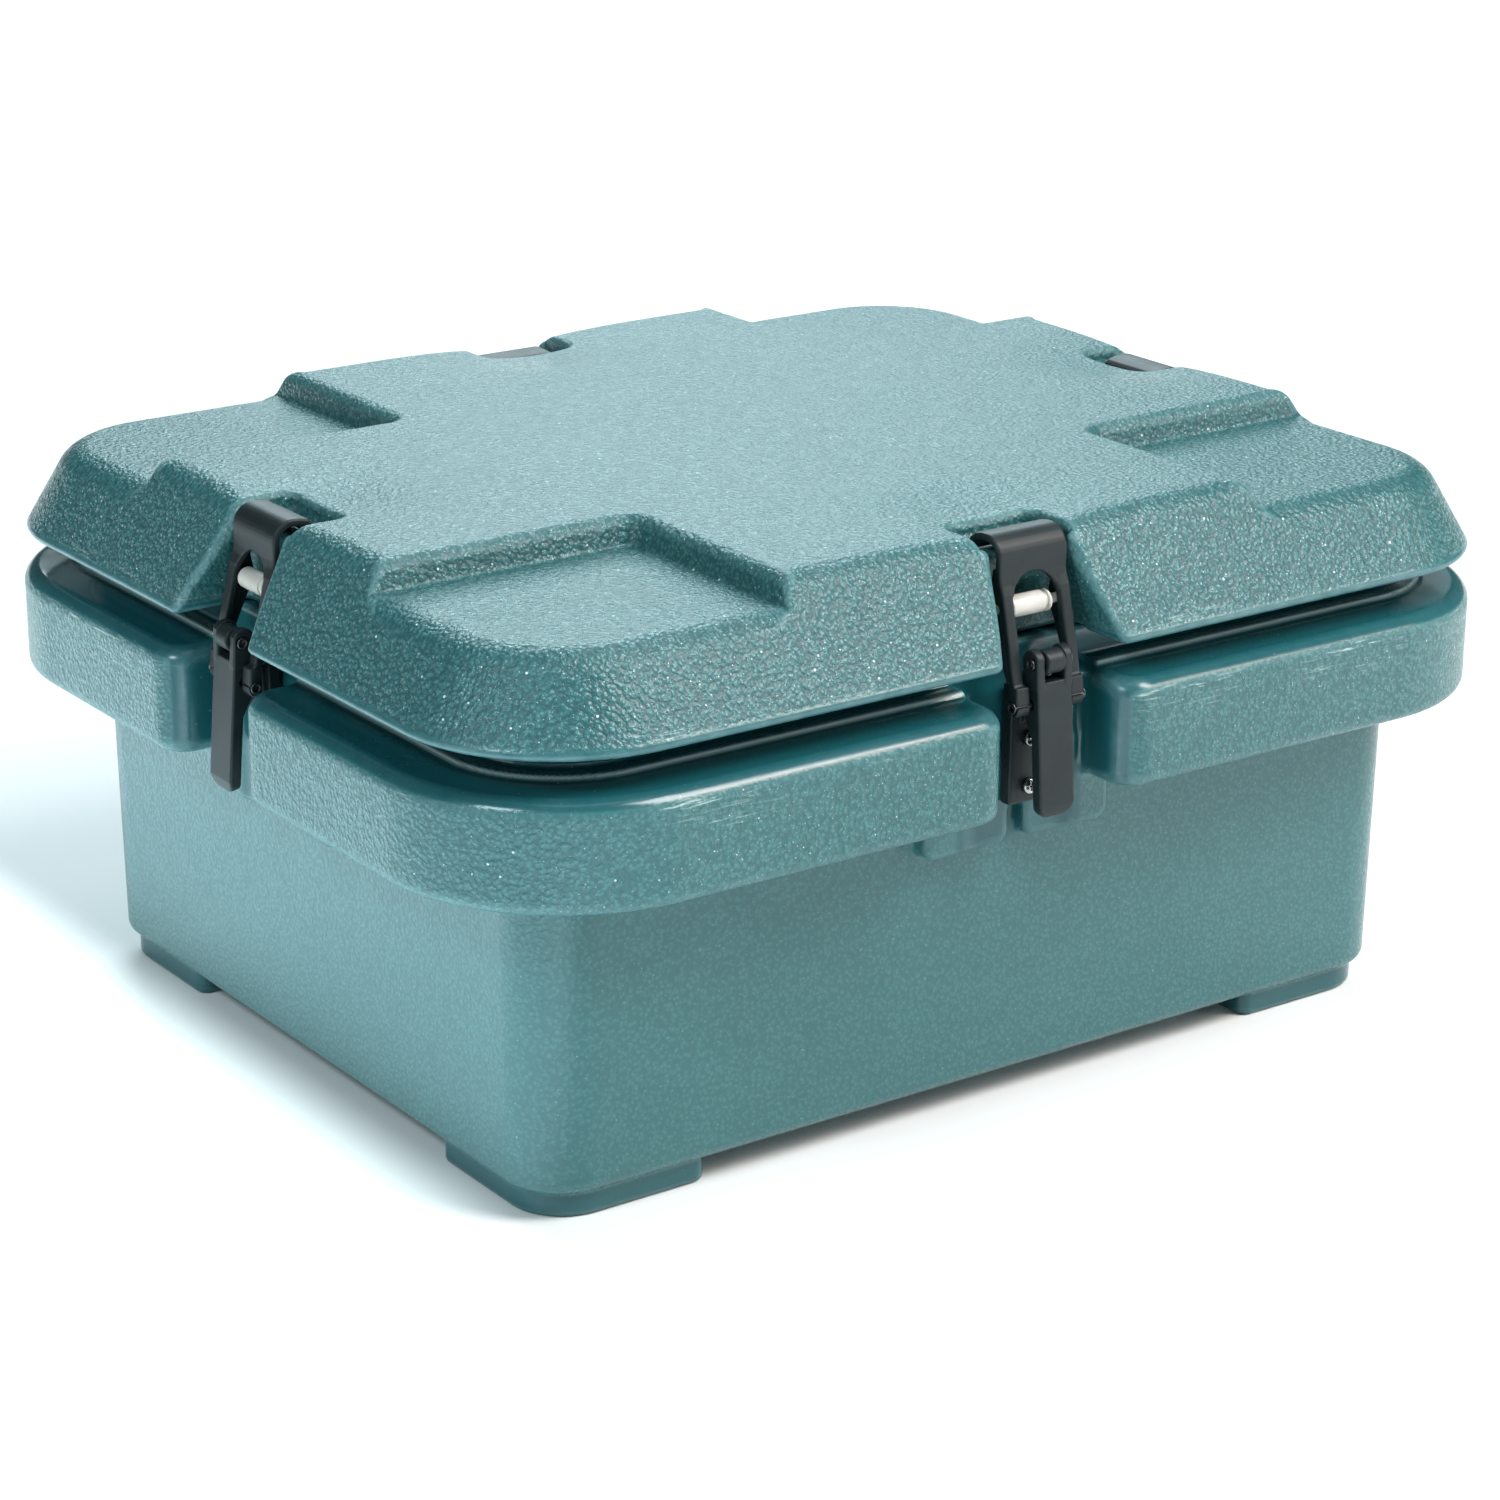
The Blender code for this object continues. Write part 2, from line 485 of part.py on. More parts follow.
def make_rod():
    """White cross rod: a plump barrel between the legs, thin ends in the cheeks."""
    return loft([[(x, -ROD_N + r * math.cos(2 * math.pi * i / 16),
                   ROD_Z + r * math.sin(2 * math.pi * i / 16)) for i in range(16)]
                 for x, r in ((-14.4, ROD_END), (-9.6, ROD_END), (-9.6, ROD_R - 0.4),
                              (-9.2, ROD_R), (9.2, ROD_R), (9.6, ROD_R - 0.4),
                              (9.6, ROD_END), (14.4, ROD_END))])


def make_pin(n, z, half, head):
    """Steel pin with a small round head at each end."""
    prof = ((-half, head - 0.3), (-half + 0.25, head), (-half + 0.6, head), (-half + 0.6, PIN_R),
            (half - 0.6, PIN_R), (half - 0.6, head), (half - 0.25, head), (half, head - 0.3))
    return loft([[(x, -n + r * math.cos(2 * math.pi * i / 12),
                   z + r * math.sin(2 * math.pi * i / 12)) for i in range(12)]
                 for x, r in prof])


def make_screw(z):
    """Pan-head screw with a crossed recess, driven into the notch wall."""
    y0 = -PLATE_N - GAP
    s = turned_y(0.0, z, ((y0 - 2.4, 1.8), (y0 - 1.9, 3.0), (y0 - 0.7, 3.8), (y0, 3.8),
                          (y0, 2.0), (-NB + 4.0, 2.0), (-NB + 5.2, 0.9)))
    for w, h in ((2.0, 0.45), (0.45, 2.0)):
        s = cut(s, box(-w, w, y0 - 3.0, y0 - 1.1, z - h, z + h))
    return s


for side, turn, extra in SIDES:
    rig = bpy.data.objects.new("latch_" + side, None)
    bpy.context.scene.collection.objects.link(rig)
    rig.rotation_euler = (0.0, 0.0, math.radians(turn))
    rig.location = (Matrix.Rotation(math.radians(turn), 3, 'Z')
                    @ Vector((0.0, -extra, 0.0))) * MM
    pivot = (0.0, -PIV_N, PIV_Z)
    hinge = (0.0, -HK_N, HK_Z)
    put(side + "_latch_bracket", make_bracket(), BLACK, rig, (0.0, -NB, 140.0))
    put(side + "_latch_lever", make_lever(), BLACK, rig, pivot)
    put(side + "_latch_hook", make_hook(), BLACK, rig, hinge)
    put(side + "_lever_pin", make_pin(PIV_N, PIV_Z, LEVER_HW + 0.9, PIN_HEAD), STEEL, rig, pivot)
    put(side + "_hook_pin", make_pin(HK_N, HK_Z, HOOK_HW + 0.9, PIN_HEAD), STEEL, rig, hinge)
    put(side + "_hook_rod", make_rod(), WHITE, rig, (0.0, -ROD_N, ROD_Z))
    for tag, z in (("lower", SCREW_Z[0]), ("upper", SCREW_Z[1])):
        put(side + "_screw_" + tag, make_screw(z), CHROME, rig, (0.0, -NB, z))
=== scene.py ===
"""Looks of the insulated food carrier: soft moulded shells with pebbled grain,
black latches with bright pins and screws, a plain pale floor and soft light."""
import bpy
import math
import numpy as np
from mathutils import Matrix, Vector


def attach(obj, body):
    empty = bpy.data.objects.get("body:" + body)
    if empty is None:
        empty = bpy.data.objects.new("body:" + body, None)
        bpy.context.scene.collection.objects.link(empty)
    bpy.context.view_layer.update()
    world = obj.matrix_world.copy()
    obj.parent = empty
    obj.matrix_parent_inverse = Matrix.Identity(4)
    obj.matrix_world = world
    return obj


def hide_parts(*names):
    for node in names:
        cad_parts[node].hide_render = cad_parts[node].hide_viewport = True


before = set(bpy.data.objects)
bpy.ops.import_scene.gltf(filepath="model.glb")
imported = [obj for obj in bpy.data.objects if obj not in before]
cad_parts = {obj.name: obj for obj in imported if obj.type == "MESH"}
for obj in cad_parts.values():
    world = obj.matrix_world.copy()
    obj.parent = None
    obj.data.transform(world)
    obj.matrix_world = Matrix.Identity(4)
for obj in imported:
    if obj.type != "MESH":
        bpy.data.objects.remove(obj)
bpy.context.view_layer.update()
MM = 0.001
F = 199.0                                   # front of the rim, mm from the centre
SIDE_STEP = 36.0                            # the end latches stand this much further out
SIDES = (("front", 0.0, 0.0), ("right", 90.0, SIDE_STEP),
         ("back", 180.0, 0.0), ("left", 270.0, SIDE_STEP))
PIV = (186.4, 176.6)                        # lever pivot, (out, up)
HK = (185.5, 161.7)                         # hook pivot
ROD = (174.0, 194.6)                        # white cross rod


# ---- solid fields: negative inside, millimetres ---------------------------------
def length2(a, b):
    return np.sqrt(a * a + b * b)


def both(a, b, r):
    """Overlap of two solids, its edge rounded by r."""
    return np.minimum(np.maximum(a, b), -r) + length2(np.maximum(a + r, 0), np.maximum(b + r, 0))


def either(a, b, r):
    """Union of two solids with a fillet of radius r."""
    return np.maximum(np.minimum(a, b), r) - length2(np.maximum(r - a, 0), np.maximum(r - b, 0))


def less(a, b, r):
    """First solid without the second, the new edge rounded by r."""
    return both(a, -b, r)


def ease(t):
    t = np.clip(t, 0.0, 1.0)
    return t * t * (3.0 - 2.0 * t)


def plan(ax, ay, hx, hy, r):
    """Rounded rectangle seen from above; ax, ay are distances from the middle."""
    qx, qy = ax - (hx - r), ay - (hy - r)
    return length2(np.maximum(qx, 0), np.maximum(qy, 0)) + np.minimum(np.maximum(qx, qy), 0) - r


def outline(px, py, pts):
    """Distance to a closed polygon."""
    d = np.full(np.broadcast(px, py).shape, 1e9)
    s = np.ones(d.shape)
    for (x1, y1), (x0, y0) in zip(pts, pts[-1:] + pts[:-1]):
        ex, ey = x0 - x1, y0 - y1
        wx, wy = px - x1, py - y1
        t = np.clip((wx * ex + wy * ey) / (ex * ex + ey * ey), 0.0, 1.0)
        d = np.minimum(d, (wx - ex * t) ** 2 + (wy - ey * t) ** 2)
        c1, c2, c3 = py >= y1, py < y0, ex * wy > ey * wx
        s = np.where((c1 & c2 & c3) | (~c1 & ~c2 & ~c3), -s, s)
    return s * np.sqrt(d)


def strip(px, py, pts):
    """Distance to an open line of points."""
    d = np.full(np.broadcast(px, py).shape, 1e9)
    for (x0, y0), (x1, y1) in zip(pts, pts[1:]):
        ex, ey = x1 - x0, y1 - y0
        wx, wy = px - x0, py - y0
        t = np.clip((wx * ex + wy * ey) / (ex * ex + ey * ey), 0.0, 1.0)
        d = np.minimum(d, (wx - ex * t) ** 2 + (wy - ey * t) ** 2)
    return np.sqrt(d)


def ring(cx, cy, r, a0, a1, n):
    return [(cx + r * math.cos(math.radians(a0 + (a1 - a0) * i / n)),
             cy + r * math.sin(math.radians(a0 + (a1 - a0) * i / n))) for i in range(n + 1)]


# ---- from field to mesh -----------------------------------------------------------
def stops(*spans):
    """Grid stations: (start, end, step) spans laid end to end."""
    out = []
    for a, b, step in spans:
        n = max(1, int(round((b - a) / step)))
        out += list(a + (b - a) * np.arange(n) / n)
    return np.array(out + [spans[-1][1]])


def mirrored(half):
    return np.concatenate([-half[:0:-1], half])


def quads_of(f, xs, ys, zs):
    """One vertex in each grid cell that the surface passes, joined into quads."""
    ins = f < 0
    nx, ny, nz = f.shape
    count = np.zeros((nx - 1, ny - 1, nz - 1), np.int8)
    for i in (0, 1):
        for j in (0, 1):
            for k in (0, 1):
                count += ins[i:nx - 1 + i, j:ny - 1 + j, k:nz - 1 + k]
    act = (count > 0) & (count < 8)
    cells = np.argwhere(act)
    idx = np.full(act.shape, -1, np.int64)
    idx[act] = np.arange(len(cells))
    grid = (xs, ys, zs)
    pos, hits = np.zeros((len(cells), 3)), np.zeros(len(cells))
    for axis in range(3):
        o1, o2 = (axis + 1) % 3, (axis + 2) % 3
        for a in (0, 1):
            for b in (0, 1):
                p0 = cells.copy()
                p0[:, o1] += a
                p0[:, o2] += b
                p1 = p0.copy()
                p1[:, axis] += 1
                fa, fb = f[tuple(p0.T)], f[tuple(p1.T)]
                m = (fa < 0) != (fb < 0)
                t = np.where(m, fa / np.where(m, fa - fb, 1.0), 0.0)
                c0 = np.stack([grid[q][p0[:, q]] for q in range(3)], 1)
                c0[:, axis] += t * (grid[axis][p1[:, axis]] - grid[axis][p0[:, axis]])
                pos[m] += c0[m]
                hits[m] += 1
    pos /= hits[:, None]
    faces = []
    for axis in range(3):
        o1, o2 = (axis + 1) % 3, (axis + 2) % 3
        lo, hi = [slice(None)] * 3, [slice(None)] * 3
        lo[axis], hi[axis] = slice(0, -1), slice(1, None)
        a, b = ins[tuple(lo)], ins[tuple(hi)]
        ch = np.argwhere(a != b)
        start = a[tuple(ch.T)]

        def cell(d1, d2):
            c = ch.copy()
            c[:, o1] -= d1
            c[:, o2] -= d2
            return idx[tuple(c.T)]
        q = np.stack([cell(1, 1), cell(0, 1), cell(0, 0), cell(1, 0)], 1)
        q[~start] = q[~start][:, ::-1]
        faces.append(q)
    return pos, np.concatenate(faces)


def settle(field, p, rounds=3, reach=1.0):
    """Pull the points onto the true surface; also returns its normals."""
    e = 0.04
    for _ in range(rounds):
        x, y, z = p.T
        f = field(x, y, z)
        g = np.stack([field(x + e, y, z) - field(x - e, y, z),
                      field(x, y + e, z) - field(x, y - e, z),
                      field(x, y, z + e) - field(x, y, z - e)], 1) / (2 * e)
        g2 = np.maximum((g * g).sum(1), 0.05)
        p = p - np.clip(f / g2, -reach, reach)[:, None] * g
    return p, g / np.sqrt(g2)[:, None]


def mesh_of(name, p, q, values=None):
    me = bpy.data.meshes.new(name)
    me.vertices.add(len(p))
    me.vertices.foreach_set("co", (p * MM).astype(np.float32).ravel())
    me.loops.add(len(q) * 4)
    me.loops.foreach_set("vertex_index", q.astype(np.int32).ravel())
    me.polygons.add(len(q))
    me.polygons.foreach_set("loop_start", np.arange(0, len(q) * 4, 4, dtype=np.int32))
    me.update(calc_edges=True)
    me.validate()
    me.shade_smooth()
    for key, v in (values or {}).items():
        at = me.attributes.new(key, 'FLOAT', 'POINT')
        at.data.foreach_set("value", v.astype(np.float32))
    return me


def solid(name, field, xs, ys, zs, quarter=False, reach=1.0, values=None):
    """Mesh of a field; a quarter field is sampled once and mirrored."""
    hx, hy = (xs, ys)
    f = field(hx[:, None, None], hy[None, :, None], zs[None, None, :])
    f = np.broadcast_to(f, (len(hx), len(hy), len(zs)))
    if quarter:
        f = np.concatenate([f[:0:-1], f], 0)
        f = np.concatenate([f[:, :0:-1], f], 1)
        xs, ys = mirrored(xs), mirrored(ys)
    p, q = quads_of(f, xs, ys, zs)
    p, nrm = settle(field, p, reach=reach)
    return mesh_of(name, p, q, values(p, nrm) if values else None)


def add(name, me, mat, body, node, matrix=None):
    ob = bpy.data.objects.new(name, me)
    bpy.context.scene.collection.objects.link(ob)
    if matrix is not None:
        ob.matrix_world = matrix
    if not me.materials:
        me.materials.append(mat)
    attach(ob, body)
    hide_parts(*((node,) if isinstance(node, str) else node))
    return ob


# ---- tub --------------------------------------------------------------------------
def sides_of(ax, ay):
    """The two kinds of latch side: (across, out)."""
    return ((ax, ay), (ay, ax - SIDE_STEP))


def tub(x, y, z):
    ax, ay = np.abs(x), np.abs(y)
    lean = 1.3 * np.clip((z - 15.0) / 110.0, 0.0, 1.0)
    d = plan(ax, ay, 198.2 + lean, 162.2 + lean, 23.5)
    d = both(d, 9.5 - z, 5.0)
    d = np.maximum(d, z - 150.0)
    # Feet under the corners.
    foot = plan(ax, ay, 194.6, 158.5, 22.0)
    foot = both(foot, 126.2 - ax, 5.0)
    foot = both(foot, 90.1 - ay, 5.0)
    foot = np.maximum(both(foot, -z, 2.2), z - 20.0)
    d = either(d, foot, 0.7)
    # Latch pads under the rim.
    for lat, n in sides_of(ax, ay):
        face = both(lat - 42.0, 105.0 - z, 5.0)
        face = less(face, both(lat - 3.6, z - 118.5, 2.0), 4.5)
        pad = both(face, n - 172.0, 2.6)
        pad = np.maximum(np.maximum(pad, z - 140.0), 120.0 - n)
        d = either(d, pad, 2.5)
    # Grip rim with its four latch notches.
    rim = plan(ax, ay, 235.0, 199.0, 72.0)
    slots = []
    for lat, n in sides_of(ax, ay):
        slots.append(both(lat - 25.5, 171.0 - n, 7.0))
        rim = less(rim, slots[-1], 12.0)
    top = 166.5 - 0.8 * np.clip((plan(ax, ay, 205.0, 169.0, 36.0)) / 28.0, 0.0, 1.0)
    rim = both(rim, z - top, 6.5)
    rim = both(rim, 125.5 - z, 5.0)
    d = either(d, rim, 3.5)
    for s in slots:
        d = less(d, np.maximum(s, 95.0 - z), 2.0)
    # Collar, pan well and the ledge for the pan's flange.
    collar = both(plan(ax, ay, 205.0, 169.0, 36.0), z - 180.0, 2.0)
    collar = np.maximum(collar, 140.0 - z)
    for lat, n in sides_of(ax, ay):
        collar = np.maximum(collar, -np.maximum(lat - 30.0, 172.0 - n))
    step = both(plan(ax, ay, 213.0, 177.0, 44.0), z - 168.3, 0.8)
    step = np.maximum(step, 140.0 - z)
    for lat, n in sides_of(ax, ay):
        step = np.maximum(step, -np.maximum(lat - 30.0, 160.0 - n))
    d = either(d, either(collar, step, 0.8), 1.6)
    ease_in = 3.0 * np.clip((172.0 - z) / 100.0, 0.0, 1.0)
    well = both(plan(ax, ay, 153.0 - ease_in, 123.0 - ease_in, 18.0), 66.0 - z, 9.0)
    ledge = both(plan(ax, ay, 165.0, 135.0, 23.0), 172.0 - z, 2.0)
    d = less(d, either(well, ledge, 2.0), 2.0)
    port = np.maximum(length2(x, y) - 12.0, z - 14.2)
    return less(d, port, 0.6)


def edges(field, p, h=1.6):
    """How sharply the surface turns outwards, 0 to 1."""
    x, y, z = p.T
    f = -6.0 * field(x, y, z)
    for dx, dy, dz in ((h, 0, 0), (0, h, 0), (0, 0, h)):
        f = f + field(x + dx, y + dy, z + dz) + field(x - dx, y - dy, z - dz)
    return ease((f / (h * h) - 0.07) / 0.28)


def tub_values(p, nrm):
    x, y, z = p.T
    ax, ay = np.abs(x), np.abs(y)
    out = plan(ax, ay, 235.0, 199.0, 72.0)          # below 0 inside the rim's outline
    rim_face = ease((out + 4.0) / 3.0) * ease((163.6 - z) / 3.0) * ease((z - 124.0) / 4.0)
    walls = ease((127.0 - z) / 3.0)
    sole = ease((9.4 - z) / 1.4)
    inside = (plan(ax, ay, 168.0, 138.0, 23.0) < 0) & (z > 40)
    # A low grain value also darkens the colour in the material; on the rim top under the lid and on the feet that
    # is painted shade.
    grain = np.maximum(0.72 * rim_face, 0.42 * walls) * (1.0 - 0.75 * sole)
    grain[inside] = 0.12
    scuff = ease((out + 2.2) / 1.6) * np.exp(-((z - 160.6) / 1.5) ** 2)
    notch = np.zeros(len(p))
    for lat, n in sides_of(ax, ay):
        notch = np.maximum(notch, ease((30.0 - lat) / 3.0) * ease((n - 160.0) / 4.0))
    grain *= 1.0 - 0.75 * notch * ease((z - 100.0) / 6.0)
    scuff = scuff + 0.4 * ease((out + 2.2) / 1.6) * np.exp(-((z - 154.5) / 4.0) ** 2)
    step = plan(ax, ay, 213.0, 177.0, 44.0)
    # line: where a pale line is painted along the edge of the ledge on the rim top, a painted highlight.
    line = np.exp(-((z - 167.9) / 0.7) ** 2) * np.exp(-(step / 0.9) ** 2)
    return {"grain": grain, "scuff": scuff * (1.0 - notch), "wall": walls, "edge": edges(tub, p), "line": line}


# ---- lid --------------------------------------------------------------------------
def lid(x, y, z):
    ax, ay = np.abs(x), np.abs(y)
    t = (z - 181.5) / 30.0
    tt = np.clip(t, 0.0, 1.6)
    side = plan(ax, ay, 231.0 - 18.0 * tt, 195.0 - 18.0 * tt, 62.0 - 19.0 * np.clip(t, 0, 1.2))
    side = side * 0.86
    arms = either(ay - 81.9, ax - 104.7, 6.0) + 0.28 * (z - 216.5)
    arms = arms * 0.963
    crown = 222.0
    for lat, n in sides_of(ax, ay):
        crown = crown - 3.0 * np.exp(-(lat / 30.0) ** 2) * ease((n - 104.0) / 46.0)
    raised = both(z - crown, arms, 4.2)
    top = either(z - 211.6, raised, 1.2)
    near = ease(np.abs(arms) / 8.0)
    soft = 2.2 + near * np.where(arms < 0, 3.6, 4.8)
    d = both(side, top, soft)
    d = both(d, 179.0 - z, 2.4)
    seat = np.maximum(plan(ax, ay, 208.0, 172.0, 39.0), z - 180.3)
    d = less(d, seat, 0.8)
    plug = both(plan(ax, ay, 157.0, 127.0, 22.0), 175.5 - z, 3.5)
    d = either(d, np.maximum(plug, z - 190.0), 1.5)
    d = less(d, np.maximum(length2(x, y) - 12.0, z - 180.2), 0.6)
    # Latch slots, narrower at the top, and the pockets behind them.
    for lat, n in sides_of(ax, ay):
        w = 16.4 + 10.6 * np.clip((215.0 - z) / 35.0, 0.0, 1.1)
        slot = both((lat - w) * 0.957, 165.0 - n, 5.0)
        d = less(d, slot, 2.6 + 2.6 * ease((z - 190.0) / 24.0))
        pocket = both(both(lat - 20.0, 149.0 - n, 6.0), 212.7 - z, 3.0)
        d = less(d, np.maximum(pocket, n - 171.0), 2.6)
    return d


def lid_values(p, nrm):
    x, y, z = p.T
    ax, ay = np.abs(x), np.abs(y)
    grain = ease((z - 181.8) / 2.2)
    notch = np.zeros(len(p))
    for lat, n in sides_of(ax, ay):
        notch = np.maximum(notch, ease((28.0 - lat) / 6.0) * ease((n - 161.0) / 3.0))
    grain = grain * (1.0 - 0.25 * notch)
    scuff = np.exp(-((z - 184.5) / 1.6) ** 2) * (z > 181.5)
    return {"grain": grain, "scuff": 0.5 * scuff * (1.0 - notch), "wall": 0.0 * z, "edge": edges(lid, p), "line": 0.0 * z}


lid_x = stops((0, 10, 5), (10, 34, 1.0), (34, 92, 4.5), (92, 116, 0.9), (116, 176, 4.0), (176, 238, 1.15))
lid_y = stops((0, 10, 5), (10, 34, 1.0), (34, 70, 4.5), (70, 94, 0.9), (94, 142, 4.0), (142, 202, 1.15))
lid_z = stops((173.0, 188.0, 0.75), (188.0, 206.0, 1.4), (206.0, 225.0, 0.75))
tub_x = stops((0, 10, 1.0), (10, 18, 4), (18, 46, 1.25), (46, 118, 6), (118, 134, 1.5), (134, 148, 3.5),
              (148, 170, 1.5), (170, 184, 3.5), (184, 240, 1.3))
tub_y = stops((0, 10, 1.0), (10, 18, 4), (18, 46, 1.25), (46, 82, 6), (82, 98, 1.5), (98, 117, 3.5),
              (117, 140, 1.5), (140, 204, 1.3))
tub_z = stops((-2, 22, 0.85), (22, 58, 6), (58, 82, 1.6), (82, 100, 4.5), (100, 134, 1.2), (134, 154, 2.5),
              (154, 184, 0.9))


# ---- latch pieces, made for the front: across x, out n = -y, up z -------------------
def bracket(x, y, z):
    n, ax = -y, np.abs(x)
    plate = both(both(ax - 8.4, np.maximum(n - 176.3, 171.3 - n), 0.7),
                 np.maximum(121.0 - z, z - 166.0), 0.9)
    arm = outline(n, z, [(173.0, 152.5), (177.0, 152.0), (179.3, 158.5), (179.3, 167.0), (182.6, 171.4),
                         (183.6, 173.4), (182.2, 177.5), (178.0, 172.5), (173.0, 165.0)]) - 0.5
    knuckle = length2(n - PIV[0], z - PIV[1]) - 4.5
    arm = both(either(arm, knuckle, 1.0), ax - 3.9, 0.5)
    d = either(plate, arm, 1.0)
    d = np.maximum(d, 2.15 - length2(n - PIV[0], z - PIV[1]))
    for sz in (127.5, 145.5):
        d = np.maximum(d, 2.35 - length2(x, z - sz))
    return d


def lever(x, y, z):
    n, ax = -y, np.abs(x)
    r = 1.0
    side = outline(n, z, [(189.6 - r, 171.5 - r), (193.2 - r, 125.0), (192.6 - r, 121.6 + r),
                          (191.0, 120.3 + r), (189.4, 121.4 + r), (188.6 + r, 125.0),
                          (186.6 + r, 149.0), (181.4 + r, 158.6), (181.4 + r, 164.0),
                          (183.0 + r, 167.3), (183.0 + r, 171.0 - r)]) - r
    # The foot of the lever is rounded across.
    tip = plan(ax, np.maximum(160.0 - z, 0.0), 8.0, 40.0, 6.0)
    body = both(both(side, ax - 8.0, 0.9), tip, 0.7)
    ear = outline(n, z, [(189.3, 168.0), (188.9, 177.0)]
                  + ring(PIV[0] - 1.1, PIV[1] + 0.4, 3.9, 25, 190, 12) + [(182.9, 168.0)]) - 0.6
    ear = both(ear, np.maximum(ax - 8.0, 4.3 - ax), 0.7)
    d = either(body, ear, 0.5)
    gap = np.maximum(np.maximum(ax - 4.3, 169.9 - z), 171.0 - n)
    d = less(d, gap, 0.45)
    d = np.maximum(d, 2.1 - length2(n - PIV[0], z - PIV[1]))
    d = np.maximum(d, 2.1 - length2(n - HK[0], z - HK[1]))
    # Shallow thumb dish in the middle of the face stays plain.
    return d


HOOK_TOP = {"front": 220.8, "right": 218.0, "back": 216.5, "left": 220.8}


def hook_line(top):
    """Run of the hook's strip, from its tongue over the bend and down."""
    c = top - 1.4
    tongue = [(n, 214.6 + k * (c - 214.6)) for n, k in ((158.9, 0.0), (160.0, 0.47), (162.4, 0.83), (165.4, 0.97))]
    return tongue + ring(168.0, c - 6.8, 6.8, 88, 2, 9) + [(174.8, 206.2), (175.4, 203.0), (176.7, 199.8)]


HOOK_FOOT = [(186.6, 168.4), (187.4, 160.4), (186.7, 159.0), (183.6, 159.0), (182.9, 160.6),
             (182.9, 165.0), (184.3, 168.6)]
LEG_LINE = [(175.4, 203.0), (176.7, 199.8), (181.4, 180.2), (185.2, 163.6)]


def hook(x, y, z, top):
    n, ax = -y, np.abs(x)
    crown = strip(n, z, hook_line(top)) - 1.4
    crown = both(crown, ax - 15.2, 0.9)
    window = length2(x, np.maximum(z - 196.5, 0.0)) - 10.3
    window = np.maximum(window, 168.0 - n)
    crown = less(crown, window, 0.7)
    leg = strip(n, z, LEG_LINE) - 1.45
    leg = both(leg, np.maximum(ax - 15.2, 10.4 - ax), 0.7)
    foot = both(outline(n, z, HOOK_FOOT) - 0.45, np.maximum(ax - 15.2, 9.2 - ax), 0.6)
    d = either(either(crown, leg, 0.25), foot, 1.2)
    cheek = outline(n, z, [(173.6, 208.0), (175.6, 200.0), (184.0, 171.0), (181.2, 169.8), (172.6, 187.8),
                           (170.2, 191.2), (170.0, 197.0), (171.2, 203.0), (172.2, 208.5)]) - 0.4
    cheek = both(cheek, np.maximum(ax - 14.9, 12.3 - ax), 0.5)
    d = either(d, cheek, 0.4)
    d = np.maximum(d, 1.9 - length2(n - HK[0], z - HK[1]))
    return np.maximum(d, 2.0 - length2(n - ROD[0], z - ROD[1]))


def rod(x, y, z):
    n, ax = -y, np.abs(x)
    rad = length2(n - ROD[0], z - ROD[1])
    barrel = both(rad - 4.0 + 0.1 * (ax / 9.6) ** 2, np.abs(x + 0.9) - 8.7, 0.5)
    barrel = less(barrel, np.maximum(np.abs(x - 5.7) - 0.8, 3.1 - rad), 0.2)
    return np.minimum(barrel, both(rad - 1.8, ax - 14.4, 0.3))


def pin_field(n0, z0, half):
    """Tubular rivet: a rounded head at each end with a hollow in it."""
    def f(x, y, z):
        n, ax = -y, np.abs(x)
        rad = length2(n - n0, z - z0)
        head = both(rad - 2.1, np.maximum(ax - half, half - 0.6 - ax), 0.28)
        d = np.minimum(np.maximum(rad - 1.75, ax - half + 0.2), head)
        return less(d, np.maximum(rad - 1.25, half - 1.6 - ax), 0.25)
    return f


def screw_field(z0):
    def f(x, y, z):
        n = -y
        rad = length2(x, z - z0)
        dome = length2(rad, n - 172.4) - 6.65          # low crowned head
        head = both(np.maximum(dome, 176.6 - n), rad - 2.9, 0.45)
        shank = np.maximum(rad - 1.95, np.maximum(n - 177.0, 166.6 - n))
        d = np.minimum(head, shank)
        deep = 177.3 + 0.55 * rad
        cross = np.minimum(np.maximum(np.abs(x) - 0.48, np.abs(z - z0) - 2.15),
                           np.maximum(np.abs(x) - 2.15, np.abs(z - z0) - 0.48))
        return less(d, np.maximum(cross, deep - n), 0.15)
    return f


def plug_field(z0, z1):
    """Filling plug with a raised ring and a coin slot on its outer face."""
    def f(x, y, z):
        rad = length2(x, y)
        d = both(rad - 11.6, np.maximum(z0 - z, z - z1), 0.7)
        groove = np.maximum(np.abs(rad - 9.2) - 0.5, z - z0 - 0.5)
        slot = both(np.maximum(np.abs(x) - 7.0, np.abs(y) - 1.1), z - z0 - 1.5, 0.1)
        return less(less(d, groove, 0.2), slot, 0.25)
    return f


